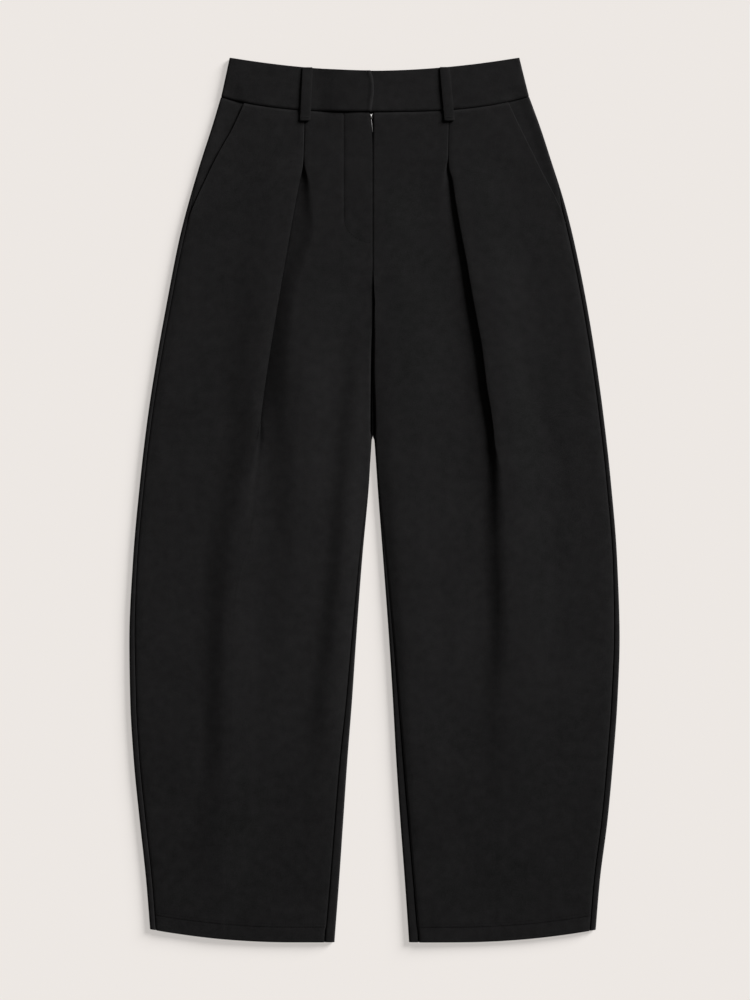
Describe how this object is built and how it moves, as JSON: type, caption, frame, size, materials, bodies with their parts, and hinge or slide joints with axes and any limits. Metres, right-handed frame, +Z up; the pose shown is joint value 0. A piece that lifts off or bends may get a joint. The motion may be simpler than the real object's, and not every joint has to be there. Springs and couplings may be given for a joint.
{
  "type": "pleated wide-leg trousers, laid flat",
  "caption": "Black wide-leg trousers laid flat, front up: contoured waistband, belt loops, zip fly, slant pockets and a deep pleat in each front, with curved barrel legs.",
  "frame": {"origin": "middle of the outline, on the surface that the back of the garment lies on", "axes": "+Y from the hems to the waistband, +Z up out of the front, +X towards the wearer's left leg"},
  "size_m": [0.5733, 1.0356, 0.0089],
  "materials": {
    "cloth": "matte soft suiting twill",
    "zip_tape": "black woven zip tape with dark teeth",
    "zip_metal": "nickel-coloured metal"
  },
  "bodies": {
    "root": {"front_right": "cloth", "front_left": "cloth", "back_right": "cloth", "back_left": "cloth", "pocket_facing_right": "cloth", "pocket_facing_left": "cloth", "waistband_front_right": "cloth", "waistband_front_left": "cloth", "waistband_back": "cloth", "belt_loop_front_right": "cloth", "belt_loop_front_left": "cloth", "belt_loop_back_right": "cloth", "belt_loop_back_left": "cloth", "zip": "zip_tape", "zip_slider": "zip_metal", "zip_pull": "zip_metal"}
  },
  "joints": []
}
